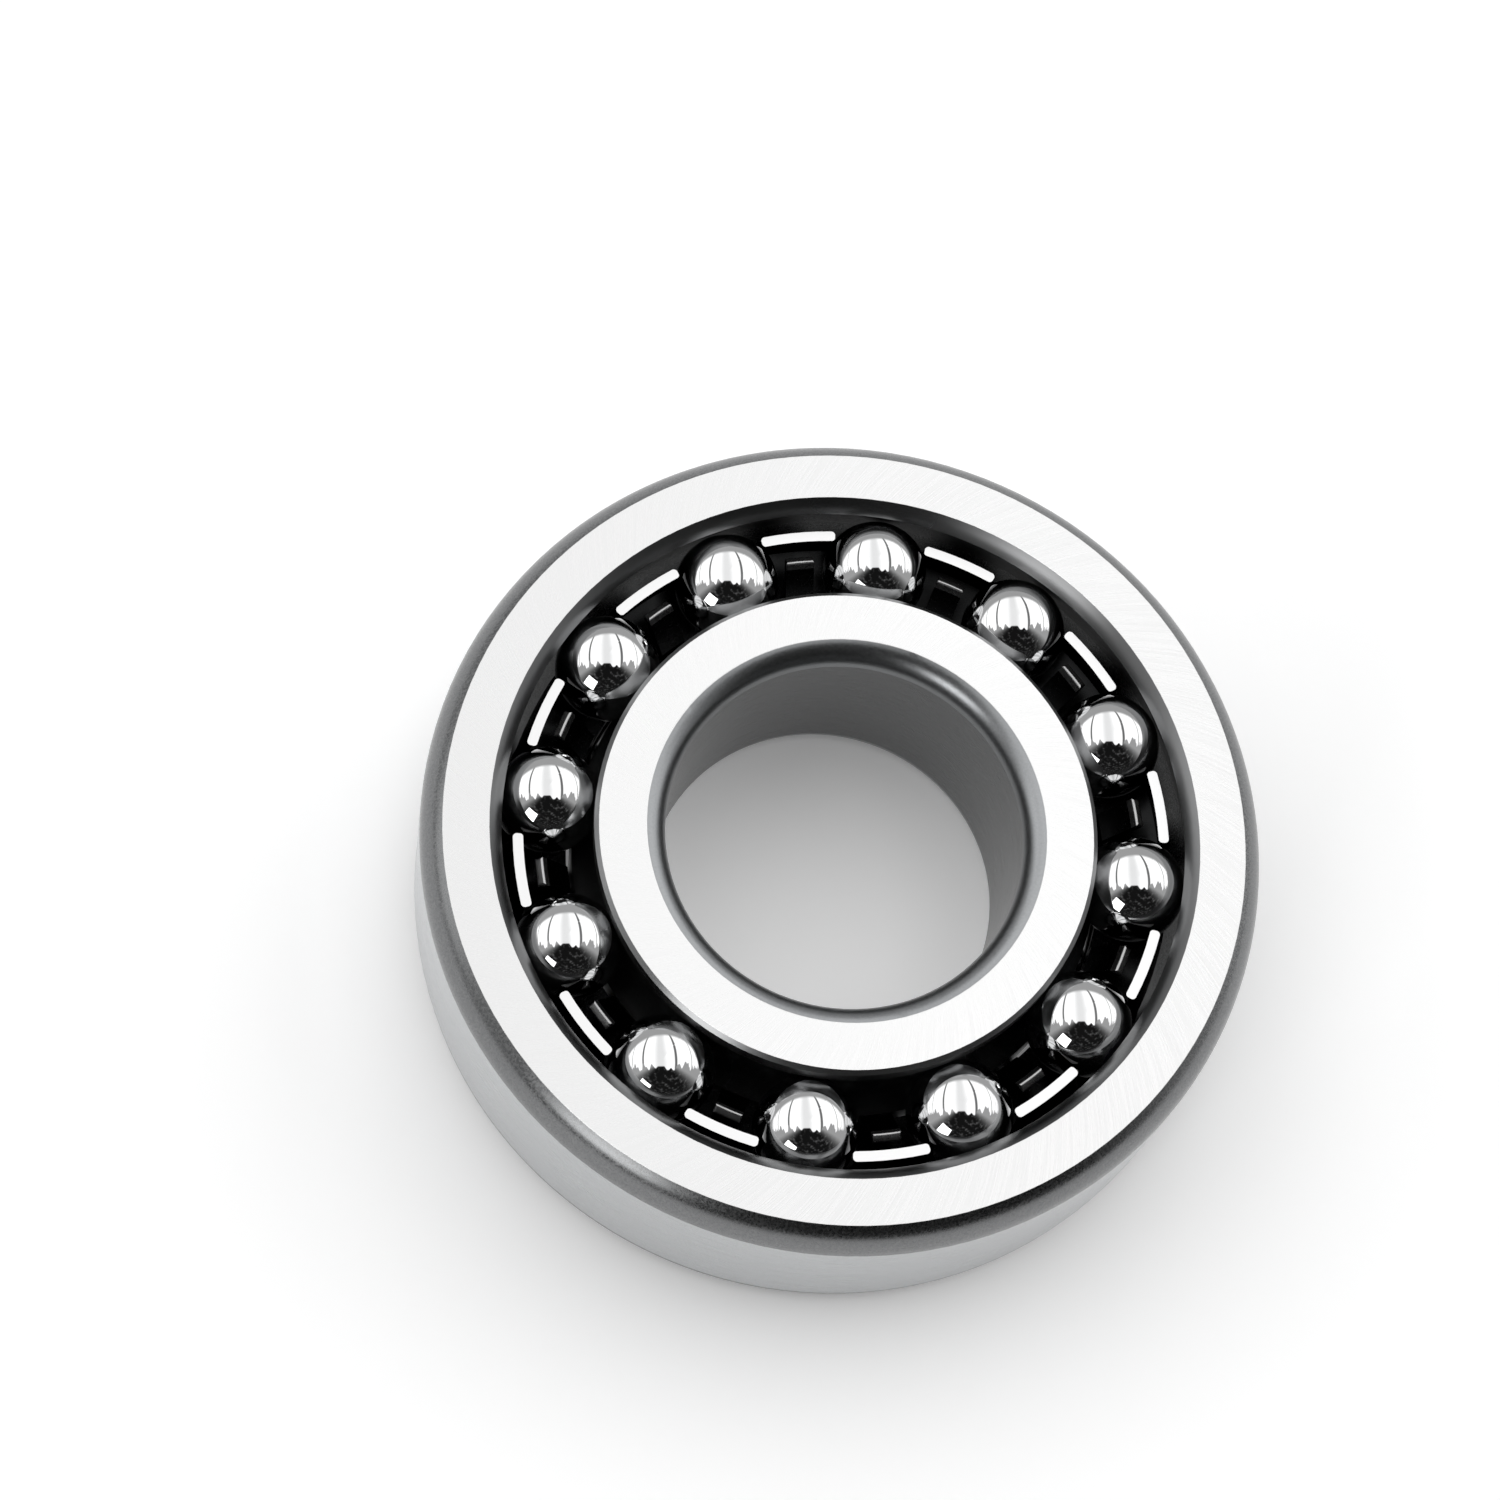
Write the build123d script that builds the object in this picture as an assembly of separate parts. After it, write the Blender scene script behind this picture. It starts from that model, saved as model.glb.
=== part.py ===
from build123d import *
import math
import os

# Double-row self-aligning ball bearing, 20 x 47 x 14 mm.
# The bearing axis is +Z and the origin is the bearing centre, about which the inner ring,
# the cage and both rows of balls swivel inside the outer ring.

# Boundary dimensions
BORE_D = 20.0
OUTER_D = 47.0
WIDTH = 14.0

# Outer ring
RACEWAY_R = 20.025
OUTER_FACE_R = 19.75
LIP_R = 19.05
LIP_CROWN = 0.06
OUTER_CORNER_RADIAL = 1.2
OUTER_CORNER_AXIAL = 2.15

# Balls
BALL_D = 5.95
BALL_CENTRE_R = 17.0
ROW_Z = 3.95
BALLS_PER_ROW = 12
FIT_GAP = 0.05

# Inner ring
GROOVE_R = 3.1
SHOULDER_D = 28.0
RIB_D = 29.8
EDGE_CHAMFER = 0.25
BORE_CORNER_RADIAL = 1.15
BORE_CORNER_AXIAL = 1.4

# Cage, pressed from one sheet
SHEET = 0.55
SHELL_R = 19.1
SHELL_END_Z = 5.2
SLOT_D = 5.5
POCKET_R = 3.08
FLOOR_INNER_R = 15.2
FLOOR_INNER_Z = 1.2
FLOOR_OUTER_R = 18.6
FLOOR_OUTER_Z = 2.2
TONGUE_W = 1.6
TONGUE_TIP_R = 16.77
TONGUE_TIP_Z = 4.7
TONGUE_BEND_Z = 2.35
TONGUE_ROOT_Z = 0.8
SHEET_ROUND = 0.2
TIP_ROUND = 0.12

PITCH_ANGLE = 360 / BALLS_PER_ROW
PITCH_R = math.sqrt(BALL_CENTRE_R**2 - ROW_Z**2)
CONTACT_ANGLE = math.degrees(math.asin(ROW_Z / BALL_CENTRE_R))
FACE_Z = WIDTH / 2
CUTTER_LEN = 6.0


def sphere_r(radius, z):
    """Radius of a sphere about the bearing centre at height z."""
    return math.sqrt(radius**2 - z**2)


def spin(outline):
    """Turn a closed outline in the XZ plane round the bearing axis."""
    return revolve(Plane.XZ * make_face(outline), Axis.Z)


def corner_arc(r_flank, z_face, radial, axial, outward):
    """Corner arc that leaves the flank smoothly and meets the face at an edge."""
    side = math.copysign(1, z_face)
    radius = (radial**2 + axial**2) / (2 * radial)
    half = math.asin(axial / radius) / 2
    mid_r = r_flank - outward * radius * (1 - math.cos(half))
    mid_z = z_face - side * (axial - radius * math.sin(half))
    flank = (r_flank, z_face - side * axial)
    face = (r_flank - outward * radial, z_face)
    return ThreePointArc(flank, (mid_r, mid_z), face)


def mirrored(point):
    """Same radius on the other side of the middle plane."""
    return (point[0], -point[1])


def lip_arc(side):
    """Crowned lip from the edge of the side face down to the end of the raceway."""
    lip = (LIP_R, sphere_r(RACEWAY_R, LIP_R))
    run = OUTER_FACE_R - lip[0]
    fall = FACE_Z - lip[1]
    length = math.hypot(run, fall)
    mid_r = (OUTER_FACE_R + lip[0]) / 2 - LIP_CROWN * fall / length
    mid_z = (FACE_Z + lip[1]) / 2 + LIP_CROWN * run / length
    points = [(OUTER_FACE_R, FACE_Z), (mid_r, mid_z), lip]
    return ThreePointArc(*[(r, side * z) for r, z in points])


def outer_ring():
    """Ring with one raceway, a sphere about the bearing centre, shared by both rows."""
    flank_r = OUTER_D / 2
    top = corner_arc(flank_r, FACE_Z, OUTER_CORNER_RADIAL, OUTER_CORNER_AXIAL, 1)
    low = corner_arc(flank_r, -FACE_Z, OUTER_CORNER_RADIAL, OUTER_CORNER_AXIAL, 1)
    front = lip_arc(1)
    rear = lip_arc(-1)
    outline = Curve() + [
        top,
        Line(top @ 1, front @ 0),
        front,
        ThreePointArc(front @ 1, (RACEWAY_R, 0), rear @ 1),
        rear,
        Line(rear @ 0, low @ 1),
        low,
        Line(low @ 0, top @ 0),
    ]
    return spin(outline)


def groove(side):
    """Groove arc of one row, from the middle rib out to the shoulder."""
    lift = BALL_CENTRE_R + GROOVE_R - BALL_D / 2 - FIT_GAP
    slope = math.radians(CONTACT_ANGLE)
    centre_r = lift * math.cos(slope)
    centre_z = lift * math.sin(slope)
    rib = (RIB_D / 2, centre_z - math.sqrt(GROOVE_R**2 - (centre_r - RIB_D / 2) ** 2))
    shoulder = (SHOULDER_D / 2, centre_z + math.sqrt(GROOVE_R**2 - (centre_r - SHOULDER_D / 2) ** 2))
    bottom = (centre_r - GROOVE_R * math.cos(slope), centre_z - GROOVE_R * math.sin(slope))
    points = [(r, side * z) for r, z in (rib, bottom, shoulder)]
    return ThreePointArc(*points)


def inner_ring():
    """Ring with two grooves, a middle rib and low outer shoulders."""
    bore_r = BORE_D / 2
    top = corner_arc(bore_r, FACE_Z, BORE_CORNER_RADIAL, BORE_CORNER_AXIAL, -1)
    low = corner_arc(bore_r, -FACE_Z, BORE_CORNER_RADIAL, BORE_CORNER_AXIAL, -1)
    face = (SHOULDER_D / 2 - EDGE_CHAMFER, FACE_Z)
    shoulder = (SHOULDER_D / 2, FACE_Z - EDGE_CHAMFER)
    front = groove(1)
    rear = groove(-1)
    outline = Curve() + [
        top,
        Line(top @ 1, face),
        Line(face, shoulder),
        Line(shoulder, front @ 1),
        front,
        Line(front @ 0, rear @ 0),
        rear,
        Line(rear @ 1, mirrored(shoulder)),
        Line(mirrored(shoulder), mirrored(face)),
        Line(mirrored(face), low @ 1),
        low,
        Line(low @ 0, top @ 0),
    ]
    return spin(outline)


def row_shift(side):
    """Turn of one row in degrees; the rear row stands half a pitch round from the front row."""
    return 0 if side > 0 else PITCH_ANGLE / 2


def ball_centres(side):
    """Ball centres of one row."""
    for index in range(BALLS_PER_ROW):
        angle = math.radians(index * PITCH_ANGLE + row_shift(side))
        yield Vector(PITCH_R * math.cos(angle), PITCH_R * math.sin(angle), side * ROW_Z)


def shell():
    """Outer wall of the cage, a barrel with round slots that are open at the front and rear."""
    outer_end = (sphere_r(SHELL_R, SHELL_END_Z), SHELL_END_Z)
    inner_end = (sphere_r(SHELL_R - SHEET, SHELL_END_Z), SHELL_END_Z)
    outline = Curve() + [
        ThreePointArc(mirrored(outer_end), (SHELL_R, 0), outer_end),
        Line(outer_end, inner_end),
        ThreePointArc(inner_end, (SHELL_R - SHEET, 0), mirrored(inner_end)),
        Line(mirrored(inner_end), mirrored(outer_end)),
    ]
    slots = [
        Plane(centre, z_dir=centre) * Cylinder(SLOT_D / 2, CUTTER_LEN)
        for side in (1, -1)
        for centre in ball_centres(side)
    ]
    wall = spin(outline) - slots
    return fillet(wall.edges().filter_by(GeomType.BSPLINE), SHEET_ROUND)


def sheet_band(points):
    """Band of sheet whose section is a closed polygon of (radius, height) points."""
    band = revolve(Plane.XZ * make_face(Polyline(*points, close=True)), Axis.Z)
    return Rot(0, 0, PITCH_ANGLE / 4) * band


def round_tip(tongue, side):
    """Tongue with the edges of its end face rounded over."""
    end_face = tongue.faces().sort_by(Axis.Z)[-1 if side > 0 else 0]
    return fillet(end_face.edges(), TIP_ROUND)


def cage_side(side):
    """Sloping floor under one row of balls, with one tongue standing up between each two balls."""
    rise = math.atan2(FLOOR_OUTER_Z - FLOOR_INNER_Z, FLOOR_OUTER_R - FLOOR_INNER_R)
    drop = SHEET / math.cos(rise)
    floor = sheet_band(
        [
            (FLOOR_INNER_R, side * FLOOR_INNER_Z),
            (FLOOR_OUTER_R, side * FLOOR_OUTER_Z),
            (FLOOR_OUTER_R, side * (FLOOR_OUTER_Z - drop)),
            (FLOOR_INNER_R, side * (FLOOR_INNER_Z - drop)),
        ]
    )
    lean = math.atan2(TONGUE_TIP_R - FLOOR_INNER_R, TONGUE_TIP_Z - TONGUE_BEND_Z)
    tip = (TONGUE_TIP_R + SHEET * math.cos(lean), TONGUE_TIP_Z - SHEET * math.sin(lean))
    back_r = FLOOR_INNER_R + SHEET
    back_z = tip[1] - (tip[0] - back_r) / math.tan(lean)
    flare = sheet_band(
        [
            (TONGUE_TIP_R, side * TONGUE_TIP_Z),
            (FLOOR_INNER_R, side * TONGUE_BEND_Z),
            (FLOOR_INNER_R, side * TONGUE_ROOT_Z),
            (back_r, side * TONGUE_ROOT_Z),
            (back_r, side * back_z),
            (tip[0], side * tip[1]),
        ]
    )
    start = PITCH_ANGLE / 2 + row_shift(side)
    strip = Pos(PITCH_R, 0, side * ROW_Z / 2) * Box(2 * CUTTER_LEN, TONGUE_W, 2 * CUTTER_LEN)
    strips = [Rot(0, 0, start + index * PITCH_ANGLE) * strip for index in range(BALLS_PER_ROW)]
    return floor + [round_tip(flare & one, side) for one in strips]


def cage():
    """One-piece cage; each ball sits in a round seat of the sloping floor."""
    body = shell() + cage_side(1) + cage_side(-1)
    seats = [Pos(centre) * Sphere(POCKET_R) for side in (1, -1) for centre in ball_centres(side)]
    return body - seats


def write(node, shape):
    """Write one node as a single solid."""
    solid = shape.solids()[0]
    solid.label = node
    export_step(solid, f"parts/{node}.step")


os.makedirs("parts", exist_ok=True)
write("outer_ring", outer_ring())
write("inner_ring", inner_ring())
write("cage", cage())
for row, side in (("front", 1), ("rear", -1)):
    for number, centre in enumerate(ball_centres(side), start=1):
        write(f"ball_{row}_{number:02d}", Pos(centre) * Sphere(BALL_D / 2))
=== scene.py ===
import math

import bpy
from mathutils import Matrix, Vector


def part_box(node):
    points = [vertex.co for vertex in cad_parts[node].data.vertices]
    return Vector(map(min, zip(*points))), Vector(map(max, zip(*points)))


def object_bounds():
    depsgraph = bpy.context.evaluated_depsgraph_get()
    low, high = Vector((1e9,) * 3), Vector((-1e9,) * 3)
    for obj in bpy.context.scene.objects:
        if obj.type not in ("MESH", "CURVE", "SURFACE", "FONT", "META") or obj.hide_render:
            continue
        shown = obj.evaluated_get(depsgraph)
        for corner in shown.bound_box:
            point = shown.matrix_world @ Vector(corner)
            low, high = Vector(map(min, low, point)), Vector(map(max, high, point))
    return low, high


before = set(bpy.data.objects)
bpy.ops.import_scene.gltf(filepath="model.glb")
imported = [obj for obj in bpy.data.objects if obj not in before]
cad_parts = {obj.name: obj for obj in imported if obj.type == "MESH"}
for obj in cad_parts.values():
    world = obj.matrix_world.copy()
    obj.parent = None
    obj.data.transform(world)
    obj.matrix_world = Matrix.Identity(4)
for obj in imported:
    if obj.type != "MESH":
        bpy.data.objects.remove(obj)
cad_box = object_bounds()

MM = 0.001

# Camera: azimuth 0 looks along +Y, angles in degrees, distances in metres, lens in millimetres
CAMERA_AZIMUTH = -69.96
CAMERA_ELEVATION = 69.71
CAMERA_ROLL = -18.14
CAMERA_DISTANCE = 0.22557
CAMERA_LENS = 95.38
CAMERA_CLIP = (0.01, 50.0)
PICTURE_CENTRE = (-0.00465, 0.00660)  # right of and above the bearing centre, as the camera sees it

# Where one finish of a ring ends and the next begins
FACE_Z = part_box("outer_ring")[1].z
OUTER_R = 23.5 * MM
OUTER_FACE_R = 19.75 * MM
OUTSIDE_END_Z = 4.85 * MM
BORE_R = 10.0 * MM
BORE_END_Z = 5.6 * MM
BORE_CORNER_R = 11.15 * MM
EDGE = 0.012 * MM

# The same for the bright cut ends of the cage: the ends of its wall and the tips of its tongues
WALL_END_Z = (5.12 * MM, 5.18 * MM)
WALL_END_R = (17.4 * MM, 17.5 * MM)
TIP_Z = (4.28 * MM, 4.32 * MM)
TIP_R = (17.3 * MM, 17.4 * MM)
TIP_SHARE = 0.55
CUT_LEVEL = 0.68
CUT_ROUGHNESS = 0.3

# Middle part of a noise, which is spread over the whole range of a roughness
SPREAD = (0.3, 0.7)

# Depth of the fine relief
RING_RELIEF = 0.0007 * MM
BALL_RELIEF = 0.00001 * MM
SHEET_RELIEF = 0.002 * MM

# Light levels of the studio
CEILING_LEVEL = 1.75
HORIZON_LEVEL = 0.50
DARK_LEVEL = 0.01
CLUTTER_LEVEL = 0.12
WINDOW_LEVEL = 4.0

# The ceiling is a plane one unit up: x runs to the right of the picture and y up it.
CEILING_EDGE = (-0.18, -0.12)
CEILING_FAR_END = (1.5, 2.2)
CEILING_SIDES = (4.0, 8.0)
SKYLINE_HEIGHTS = (-0.26, 0.24)
STRIP_WIDTH = 0.72
STRIP_SHIFT = 0.93
STRIP_JOINT = (0.03, 0.09)
JOINT_LEVEL = 0.12
HAZE_X = -0.10
HAZE_WIDTH = (0.05, 0.35)
HAZE_LEVEL = 0.70

# The dark room lies on the camera's side, and the window is a square seen along WINDOW_AIM.
DARK_SIDES = (0.9, 3.2)
WINDOW_AIM = (-0.55, -0.50, 0.66)  # right, up and back of the camera
WINDOW_HALF = 0.2
WINDOW_SOFT = 0.01
LEAST = 0.001  # keeps divisors above zero

FLOOR_HALF = 3.0
FLOOR_GLOW = 0.16


# ---------------------------------------------------------------- node helpers


class Graph:
    """A node tree with short calls for the nodes used here."""

    def __init__(self, tree):
        self.tree = tree
        tree.nodes.clear()

    def add(self, kind, *inputs, **settings):
        node = self.tree.nodes.new(kind)
        for name, value in settings.items():
            setattr(node, name, value)
        for index, value in enumerate(inputs):
            self.put(node.inputs[index], value)
        return node

    def put(self, socket, value):
        if isinstance(value, bpy.types.NodeSocket):
            self.tree.links.new(value, socket)
        elif value is not None:
            socket.default_value = value

    def math(self, operation, *inputs):
        return self.add("ShaderNodeMath", *inputs, operation=operation).outputs[0]

    def length(self, vector):
        return self.add("ShaderNodeVectorMath", vector, operation="LENGTH").outputs["Value"]

    def dot(self, vector, axis):
        return self.add("ShaderNodeVectorMath", vector, tuple(axis), operation="DOT_PRODUCT").outputs["Value"]

    def ramp(self, value, low, high, start=0.0, end=1.0):
        """start below low, end above high, and a smooth step between."""
        node = self.add("ShaderNodeMapRange", value, low, high, start, end, interpolation_type="SMOOTHSTEP")
        return node.outputs[0]

    def fall(self, value, low, high):
        """1 below low, 0 above high."""
        return self.ramp(value, low, high, 1.0, 0.0)

    def band(self, value, half, soft):
        """1 within half of zero, 0 outside."""
        rise = self.ramp(value, -half - soft, -half + soft)
        return self.math("MULTIPLY", rise, self.fall(value, half - soft, half + soft))

    def mix(self, share, a, b):
        node = self.add("ShaderNodeMix", data_type="FLOAT")
        for socket, value in zip(node.inputs[:1] + node.inputs[2:4], (share, a, b)):
            self.put(socket, value)
        return node.outputs[0]

    def mix_colour(self, share, a, b):
        node = self.add("ShaderNodeMix", data_type="RGBA")
        for socket, value in zip((node.inputs[0], node.inputs[6], node.inputs[7]), (share, a, b)):
            self.put(socket, value)
        return node.outputs[2]

    def noise(self, vector, scale, detail, roughness):
        return self.add("ShaderNodeTexNoise", vector, None, scale, detail, roughness).outputs[0]

    def combine(self, x, y, z):
        return self.add("ShaderNodeCombineXYZ", x, y, z).outputs[0]


def grey(level, tint=0.0):
    """A grey, bluish where tint is above 0."""
    return (level * (1 - tint), level, level * (1 + tint), 1.0)


def object_place(graph):
    return graph.add("ShaderNodeTexCoord").outputs["Object"]


def polar(graph, place):
    """Radius, turn in radians and height of a point of a CAD node."""
    x, y, z = graph.add("ShaderNodeSeparateXYZ", place).outputs
    return graph.length(graph.combine(x, y, 0.0)), graph.math("ARCTAN2", y, x), z


def new_material(name, metallic=1.0):
    material = bpy.data.materials.new(name)
    material.use_nodes = True
    graph = Graph(material.node_tree)
    shader = graph.add("ShaderNodeBsdfPrincipled")
    output = graph.add("ShaderNodeOutputMaterial")
    graph.put(output.inputs["Surface"], shader.outputs[0])
    shader.inputs["Metallic"].default_value = metallic
    return material, graph, shader


def finish_shader(graph, shader, colour, roughness, height, depth):
    bump = graph.add("ShaderNodeBump")
    bump.inputs["Distance"].default_value = depth
    graph.put(bump.inputs["Height"], height)
    graph.put(shader.inputs["Base Color"], colour)
    graph.put(shader.inputs["Roughness"], roughness)
    graph.put(shader.inputs["Normal"], bump.outputs[0])


# ---------------------------------------------------------------- materials

# Looks of the two rings. A pair is the low and the high end of the surface's own pattern.
GROUND_ROUGHNESS = (0.24, 0.34)
OUTER_LOOK = {
    "face": (grey(0.61), grey(0.64)),
    "cylinder": (grey(0.50, 0.02), grey(0.58, 0.02)),
    "corner": (grey(0.11, 0.05), grey(0.27)),
    "corner roughness": (0.22, 0.32),
    "corner relief": 0.12,
    "running": grey(0.20, 0.01),
    "running roughness": (0.24, 0.32),
}
INNER_LOOK = {
    "face": (grey(0.645), grey(0.675)),
    "cylinder": (grey(0.12, 0.01), grey(0.19, 0.01)),
    "corner": (grey(0.23, 0.03), grey(0.33, 0.02)),
    "corner roughness": (0.28, 0.36),
    "corner relief": 0.05,
    "running": grey(0.30, 0.01),
    "running roughness": (0.26, 0.34),
}


def ground_face(graph, radius, turn):
    """Fine arcs that a cup wheel leaves across a side face."""
    along = graph.math("ADD", graph.math("MULTIPLY", turn, 260.0), graph.math("MULTIPLY", radius, 9000.0))
    return graph.noise(graph.combine(along, graph.math("MULTIPLY", radius, 260.0), 0.0), 1.0, 4.0, 0.6)


def ground_round(graph, turn, height):
    """Fine lines that run round a ground cylinder."""
    lines = graph.combine(graph.math("MULTIPLY", turn, 3.0), graph.math("MULTIPLY", height, 14000.0), 0.0)
    return graph.noise(lines, 1.0, 4.0, 0.6)


def outer_zones(graph, radius, side):
    """The outside cylinder, and the lips and raceway."""
    straight = graph.fall(side, OUTSIDE_END_Z - EDGE, OUTSIDE_END_Z + EDGE)
    cylinder = graph.math("MULTIPLY", straight, graph.ramp(radius, OUTER_R - MM, OUTER_R - MM / 2))
    return cylinder, graph.fall(radius, OUTER_FACE_R - EDGE, OUTER_FACE_R + EDGE)


def inner_zones(graph, radius, side):
    """The bore, and the shoulders and grooves."""
    straight = graph.fall(side, BORE_END_Z - EDGE, BORE_END_Z + EDGE)
    cylinder = graph.math("MULTIPLY", straight, graph.fall(radius, BORE_R + MM / 2, BORE_R + MM))
    return cylinder, graph.ramp(radius, BORE_CORNER_R + MM, BORE_CORNER_R + 2 * MM)


def ring_steel(name, look, zones):
    """Ring with ground side faces and cylinder, turned corners and a satin running side."""
    material, graph, shader = new_material(name)
    place = object_place(graph)
    radius, turn, height = polar(graph, place)
    side = graph.math("ABSOLUTE", height)
    face = graph.ramp(side, FACE_Z - EDGE, FACE_Z - EDGE / 2)
    cylinder, running = zones(graph, radius, side)
    running = graph.math("MULTIPLY", running, graph.math("SUBTRACT", 1.0, face))
    ground = graph.math("MAXIMUM", face, cylinder)

    grain = graph.mix(face, ground_round(graph, turn, height), ground_face(graph, radius, turn))
    mottle = graph.noise(place, 7000.0, 3.0, 0.6)
    cloud = graph.noise(place, 90.0, 2.0, 0.5)

    corner_colour = graph.mix_colour(mottle, *look["corner"])
    colour = graph.mix_colour(cylinder, corner_colour, graph.mix_colour(grain, *look["cylinder"]))
    colour = graph.mix_colour(face, colour, graph.mix_colour(grain, *look["face"]))
    colour = graph.mix_colour(running, colour, look["running"])

    rough_corner = graph.ramp(mottle, *SPREAD, *look["corner roughness"])
    roughness = graph.mix(ground, rough_corner, graph.ramp(grain, *SPREAD, *GROUND_ROUGHNESS))
    rough_running = graph.ramp(cloud, *SPREAD, *look["running roughness"])
    roughness = graph.mix(running, roughness, rough_running)

    relief = graph.mix(ground, graph.math("MULTIPLY", mottle, look["corner relief"]), grain)
    relief = graph.mix(running, relief, 0.5)
    finish_shader(graph, shader, colour, roughness, relief, RING_RELIEF)
    return material


def ball_steel():
    """Mirror steel with the faintest haze."""
    material, graph, shader = new_material("ball_steel")
    place = object_place(graph)
    haze = graph.noise(place, 700.0, 3.0, 0.5)
    hairs = graph.noise(place, 9000.0, 2.0, 0.5)
    colour = graph.mix_colour(haze, grey(0.62, 0.005), grey(0.68, 0.005))
    roughness = graph.ramp(haze, 0.35, 0.7, 0.02, 0.05)
    finish_shader(graph, shader, colour, roughness, hairs, BALL_RELIEF)
    return material


def cage_steel():
    """Dark rolled sheet with bright cut ends."""
    material, graph, shader = new_material("cage_steel")
    place = object_place(graph)
    radius, _, height = polar(graph, place)
    side = graph.math("ABSOLUTE", height)
    rolled = graph.noise(place, 1200.0, 4.0, 0.55)
    wall_end = graph.math("MULTIPLY", graph.ramp(side, *WALL_END_Z), graph.ramp(radius, *WALL_END_R))
    tip = graph.math("MULTIPLY", graph.ramp(side, *TIP_Z), graph.ramp(radius, *TIP_R, TIP_SHARE, 0.0))
    cut = graph.math("MAXIMUM", wall_end, tip)
    sheet = graph.mix_colour(rolled, grey(0.008, 0.02), grey(0.022, 0.02))
    colour = graph.mix_colour(cut, sheet, grey(CUT_LEVEL))
    roughness = graph.mix(cut, graph.ramp(rolled, *SPREAD, 0.20, 0.32), CUT_ROUGHNESS)
    shader.inputs["Specular Tint"].default_value = grey(0.2)
    finish_shader(graph, shader, colour, roughness, rolled, SHEET_RELIEF)
    return material


def dress():
    """Give every CAD node its material."""
    balls = ball_steel()
    finish = {
        "outer_ring": ring_steel("outer_ring_steel", OUTER_LOOK, outer_zones),
        "inner_ring": ring_steel("inner_ring_steel", INNER_LOOK, inner_zones),
        "cage": cage_steel(),
    }
    for name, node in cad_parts.items():
        material = finish.get(name, balls)
        for slot in node.material_slots:
            slot.material = material


# ---------------------------------------------------------------- studio


def camera_axes():
    """Right, up and back of the camera."""
    azimuth = math.radians(CAMERA_AZIMUTH)
    elevation = math.radians(CAMERA_ELEVATION)
    roll = math.radians(CAMERA_ROLL)
    flat_back = Vector((math.sin(azimuth), -math.cos(azimuth), 0))
    back = flat_back * math.cos(elevation) + Vector((0, 0, math.sin(elevation)))
    level = Vector((0, 0, 1)).cross(back).normalized()
    rise = back.cross(level)
    up = rise * math.cos(roll) + level * math.sin(roll)
    return up.cross(back), up, back


def add_camera():
    right, up, back = camera_axes()
    data = bpy.data.cameras.new("camera")
    data.lens = CAMERA_LENS
    data.clip_start, data.clip_end = CAMERA_CLIP
    camera = bpy.data.objects.new("camera", data)
    bpy.context.scene.collection.objects.link(camera)
    place = right * PICTURE_CENTRE[0] + up * PICTURE_CENTRE[1] + back * CAMERA_DISTANCE
    turn = Matrix((right, up, back)).transposed().to_4x4()
    camera.matrix_world = Matrix.Translation(place) @ turn
    bpy.context.scene.camera = camera


def ceiling_strips(graph, x):
    """Brightness across the ceiling: strips with dark joints, and one hazier strip."""
    joint = graph.math("PINGPONG", graph.math("ADD", x, STRIP_SHIFT), STRIP_WIDTH)
    strips = graph.ramp(joint, *STRIP_JOINT, JOINT_LEVEL, 1.0)
    from_haze = graph.math("ABSOLUTE", graph.math("SUBTRACT", x, HAZE_X))
    return graph.math("MULTIPLY", strips, graph.ramp(from_haze, *HAZE_WIDTH, HAZE_LEVEL, 1.0))


def window_mask(graph, look, aim):
    """1 inside the window, a square round the direction aim."""
    side_axis = aim.cross(Vector((0, 0, 1))).normalized()
    toward = graph.math("MAXIMUM", graph.dot(look, aim), LEAST)
    across = graph.math("DIVIDE", graph.dot(look, side_axis), toward)
    rise = graph.math("DIVIDE", graph.dot(look, side_axis.cross(aim)), toward)
    inside_across = graph.band(across, WINDOW_HALF, WINDOW_SOFT)
    return graph.math("MULTIPLY", inside_across, graph.band(rise, WINDOW_HALF, WINDOW_SOFT))


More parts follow.
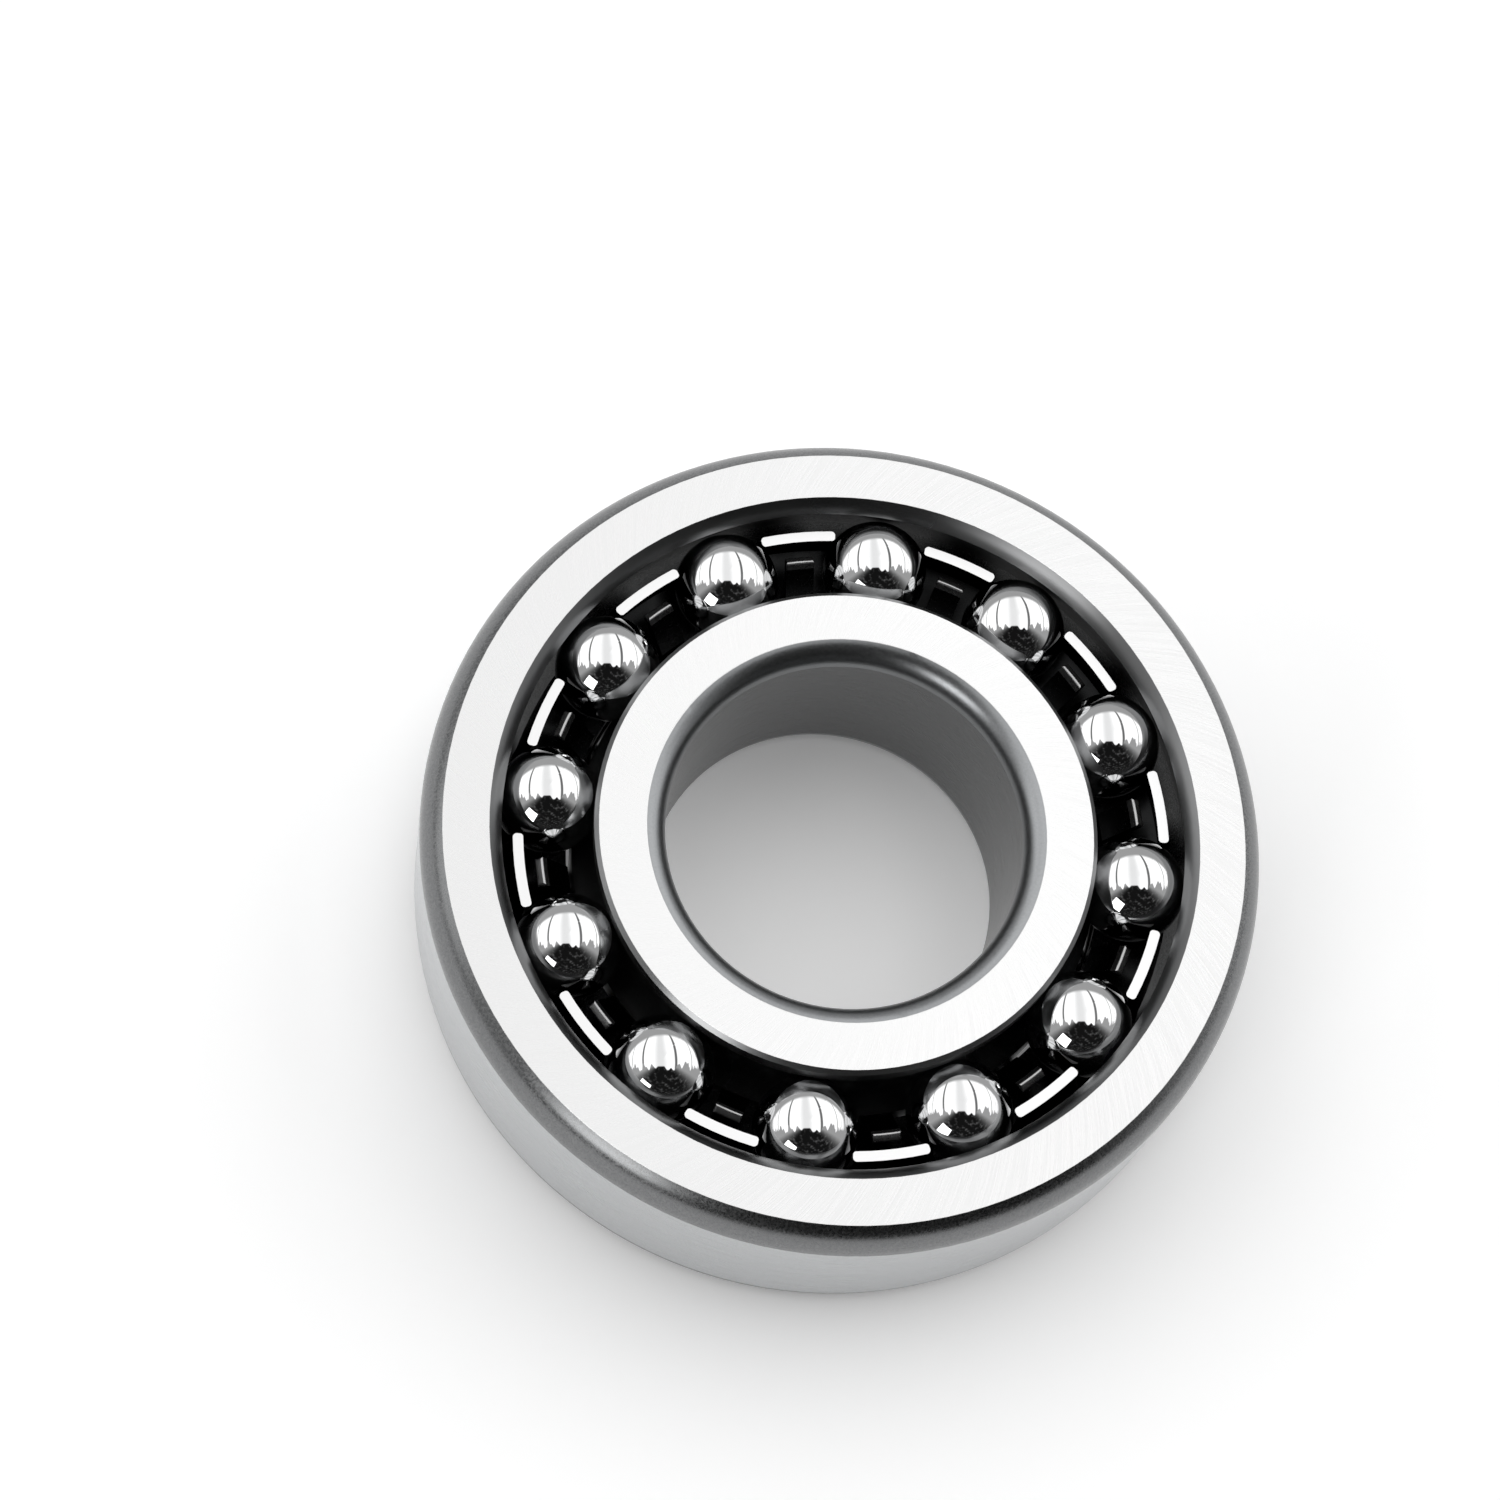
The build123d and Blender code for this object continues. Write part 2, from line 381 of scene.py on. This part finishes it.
def studio_level(graph, look):
    """Light level by direction: striped ceiling, pale horizon, dark room and one window."""
    right, up, back = camera_axes()
    flat_up = Vector((up.x, up.y, 0)).normalized()
    across = graph.dot(look, flat_up.cross(Vector((0, 0, 1))))
    along = graph.dot(look, flat_up)
    above = graph.math("MAXIMUM", graph.dot(look, (0, 0, 1)), LEAST)
    x = graph.math("DIVIDE", across, above)
    y = graph.math("DIVIDE", along, above)

    ragged = graph.noise(graph.combine(x, 0.0, 0.0), 1.3, 2.0, 0.65)
    edge = graph.math("SUBTRACT", y, graph.ramp(ragged, 0.36, 0.64, *SKYLINE_HEIGHTS))
    ceiling = graph.math("MULTIPLY", graph.ramp(edge, *CEILING_EDGE), graph.fall(y, *CEILING_FAR_END))
    ceiling = graph.math("MULTIPLY", ceiling, graph.fall(graph.math("ABSOLUTE", x), *CEILING_SIDES))
    bright = graph.math("MULTIPLY", ceiling_strips(graph, x), CEILING_LEVEL)
    level = graph.mix(ceiling, HORIZON_LEVEL, bright)

    toward = graph.math("MAXIMUM", graph.math("MULTIPLY", along, -1.0), LEAST)
    sideways = graph.math("ABSOLUTE", graph.math("DIVIDE", across, toward))
    dark = graph.math("MULTIPLY", graph.fall(sideways, *DARK_SIDES), graph.fall(edge, *CEILING_EDGE))
    clutter = graph.noise(graph.combine(x, y, 0.0), 3.5, 3.0, 0.6)
    level = graph.mix(dark, level, graph.ramp(clutter, 0.5, 0.7, DARK_LEVEL, CLUTTER_LEVEL))

    aim = right * WINDOW_AIM[0] + up * WINDOW_AIM[1] + back * WINDOW_AIM[2]
    return graph.mix(window_mask(graph, look, aim.normalized()), level, WINDOW_LEVEL)


def studio_world():
    world = bpy.data.worlds.new("studio")
    bpy.context.scene.world = world
    world.use_nodes = True
    graph = Graph(world.node_tree)
    look = graph.add("ShaderNodeTexCoord").outputs["Generated"]
    background = graph.add("ShaderNodeBackground", grey(1.0), studio_level(graph, look))
    output = graph.add("ShaderNodeOutputWorld")
    graph.put(output.inputs["Surface"], background.outputs[0])


def add_floor():
    """Plain white floor under the bearing, with a slight glow."""
    half, z = FLOOR_HALF, cad_box[0].z
    mesh = bpy.data.meshes.new("floor")
    corners = [(-half, -half, z), (half, -half, z), (half, half, z), (-half, half, z)]
    mesh.from_pydata(corners, [], [(0, 1, 2, 3)])
    floor = bpy.data.objects.new("floor", mesh)
    bpy.context.scene.collection.objects.link(floor)
    material, _, shader = new_material("floor", metallic=0.0)
    shader.inputs["Base Color"].default_value = grey(0.95)
    shader.inputs["Roughness"].default_value = 0.6
    shader.inputs["Emission Color"].default_value = grey(1.0)
    shader.inputs["Emission Strength"].default_value = FLOOR_GLOW
    mesh.materials.append(material)


dress()
add_camera()
studio_world()
add_floor()
bpy.context.scene.view_settings.view_transform = "Standard"
